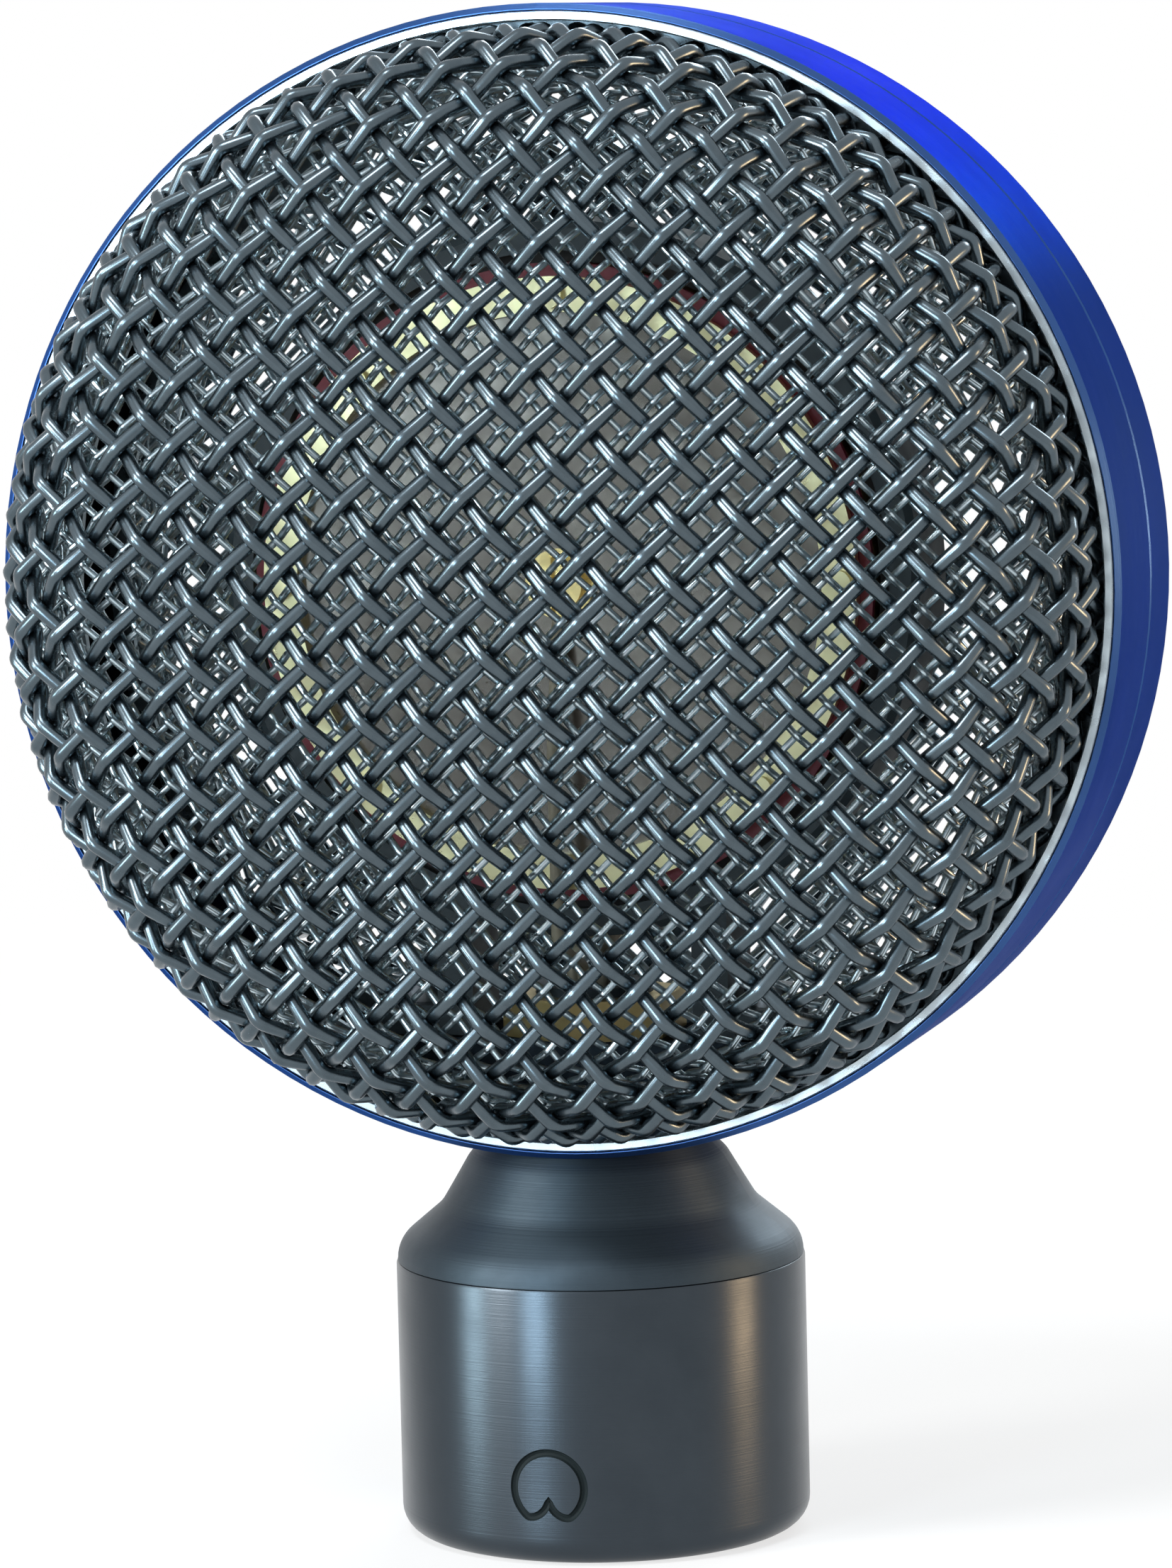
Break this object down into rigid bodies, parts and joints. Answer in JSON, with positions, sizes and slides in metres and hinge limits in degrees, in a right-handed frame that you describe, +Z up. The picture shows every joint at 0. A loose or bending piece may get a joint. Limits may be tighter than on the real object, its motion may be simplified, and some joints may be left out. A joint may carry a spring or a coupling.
{
  "type": "condenser microphone capsule",
  "caption": "Round condenser microphone capsule head with domed woven-wire meshes in a ring housing, an ogee neck and a threaded collar.",
  "frame": {"origin": "centre of the collar's flat foot", "axes": "+Z up along the collar and neck, -Y out of the front mesh, +X to the right seen from the front"},
  "size_m": [0.062, 0.0382, 0.0835],
  "materials": {
    "ring_blue": "satin, blue anodised",
    "lip_silver": "bare, fine turned",
    "coarse_wire": "bright nickel plate",
    "fine_wire": "nickel plate",
    "neck_metal": "fine turned, darker nickel",
    "collar_metal": "satin nickel",
    "nut_brass": "plain",
    "black_plastic": "moulded",
    "gold_contact": "gold plated",
    "mount_plastic": "moulded, dark grey",
    "cushion_rubber": "matt",
    "screw_steel": "plain",
    "red_insulator": "dark red, semi-gloss",
    "plate_brass": "lapped",
    "gold_film": "metallised film",
    "clamp_brass": "fine turned",
    "screw_brass": "plain",
    "lead_sleeve": "thin insulated wire"
  },
  "bodies": {
    "root": {"head_ring": "ring_blue", "front_bezel": "lip_silver", "rear_bezel": "lip_silver", "front_outer_mesh": "coarse_wire", "rear_outer_mesh": "coarse_wire", "front_inner_mesh": "fine_wire", "rear_inner_mesh": "fine_wire", "neck": "neck_metal", "collar": "collar_metal", "lock_nut": "nut_brass", "contact_insulator": "black_plastic", "contact_pins": "gold_contact", "capsule_mount": "mount_plastic", "capsule_cushion": "cushion_rubber", "mount_screws": "screw_steel", "centre_spacer": "red_insulator", "front_backplate": "plate_brass", "front_insulator_ring": "red_insulator", "front_diaphragm": "gold_film", "front_clamp_ring": "clamp_brass", "front_clamp_screws": "screw_brass", "front_terminal_washer": "gold_contact", "front_terminal": "gold_contact", "rear_backplate": "plate_brass", "rear_insulator_ring": "red_insulator", "rear_diaphragm": "gold_film", "rear_clamp_ring": "clamp_brass", "rear_clamp_screws": "screw_brass", "rear_terminal_washer": "gold_contact", "rear_terminal": "gold_contact", "front_lead": "lead_sleeve", "rear_lead": "lead_sleeve", "backplate_lead": "lead_sleeve"}
  },
  "joints": []
}
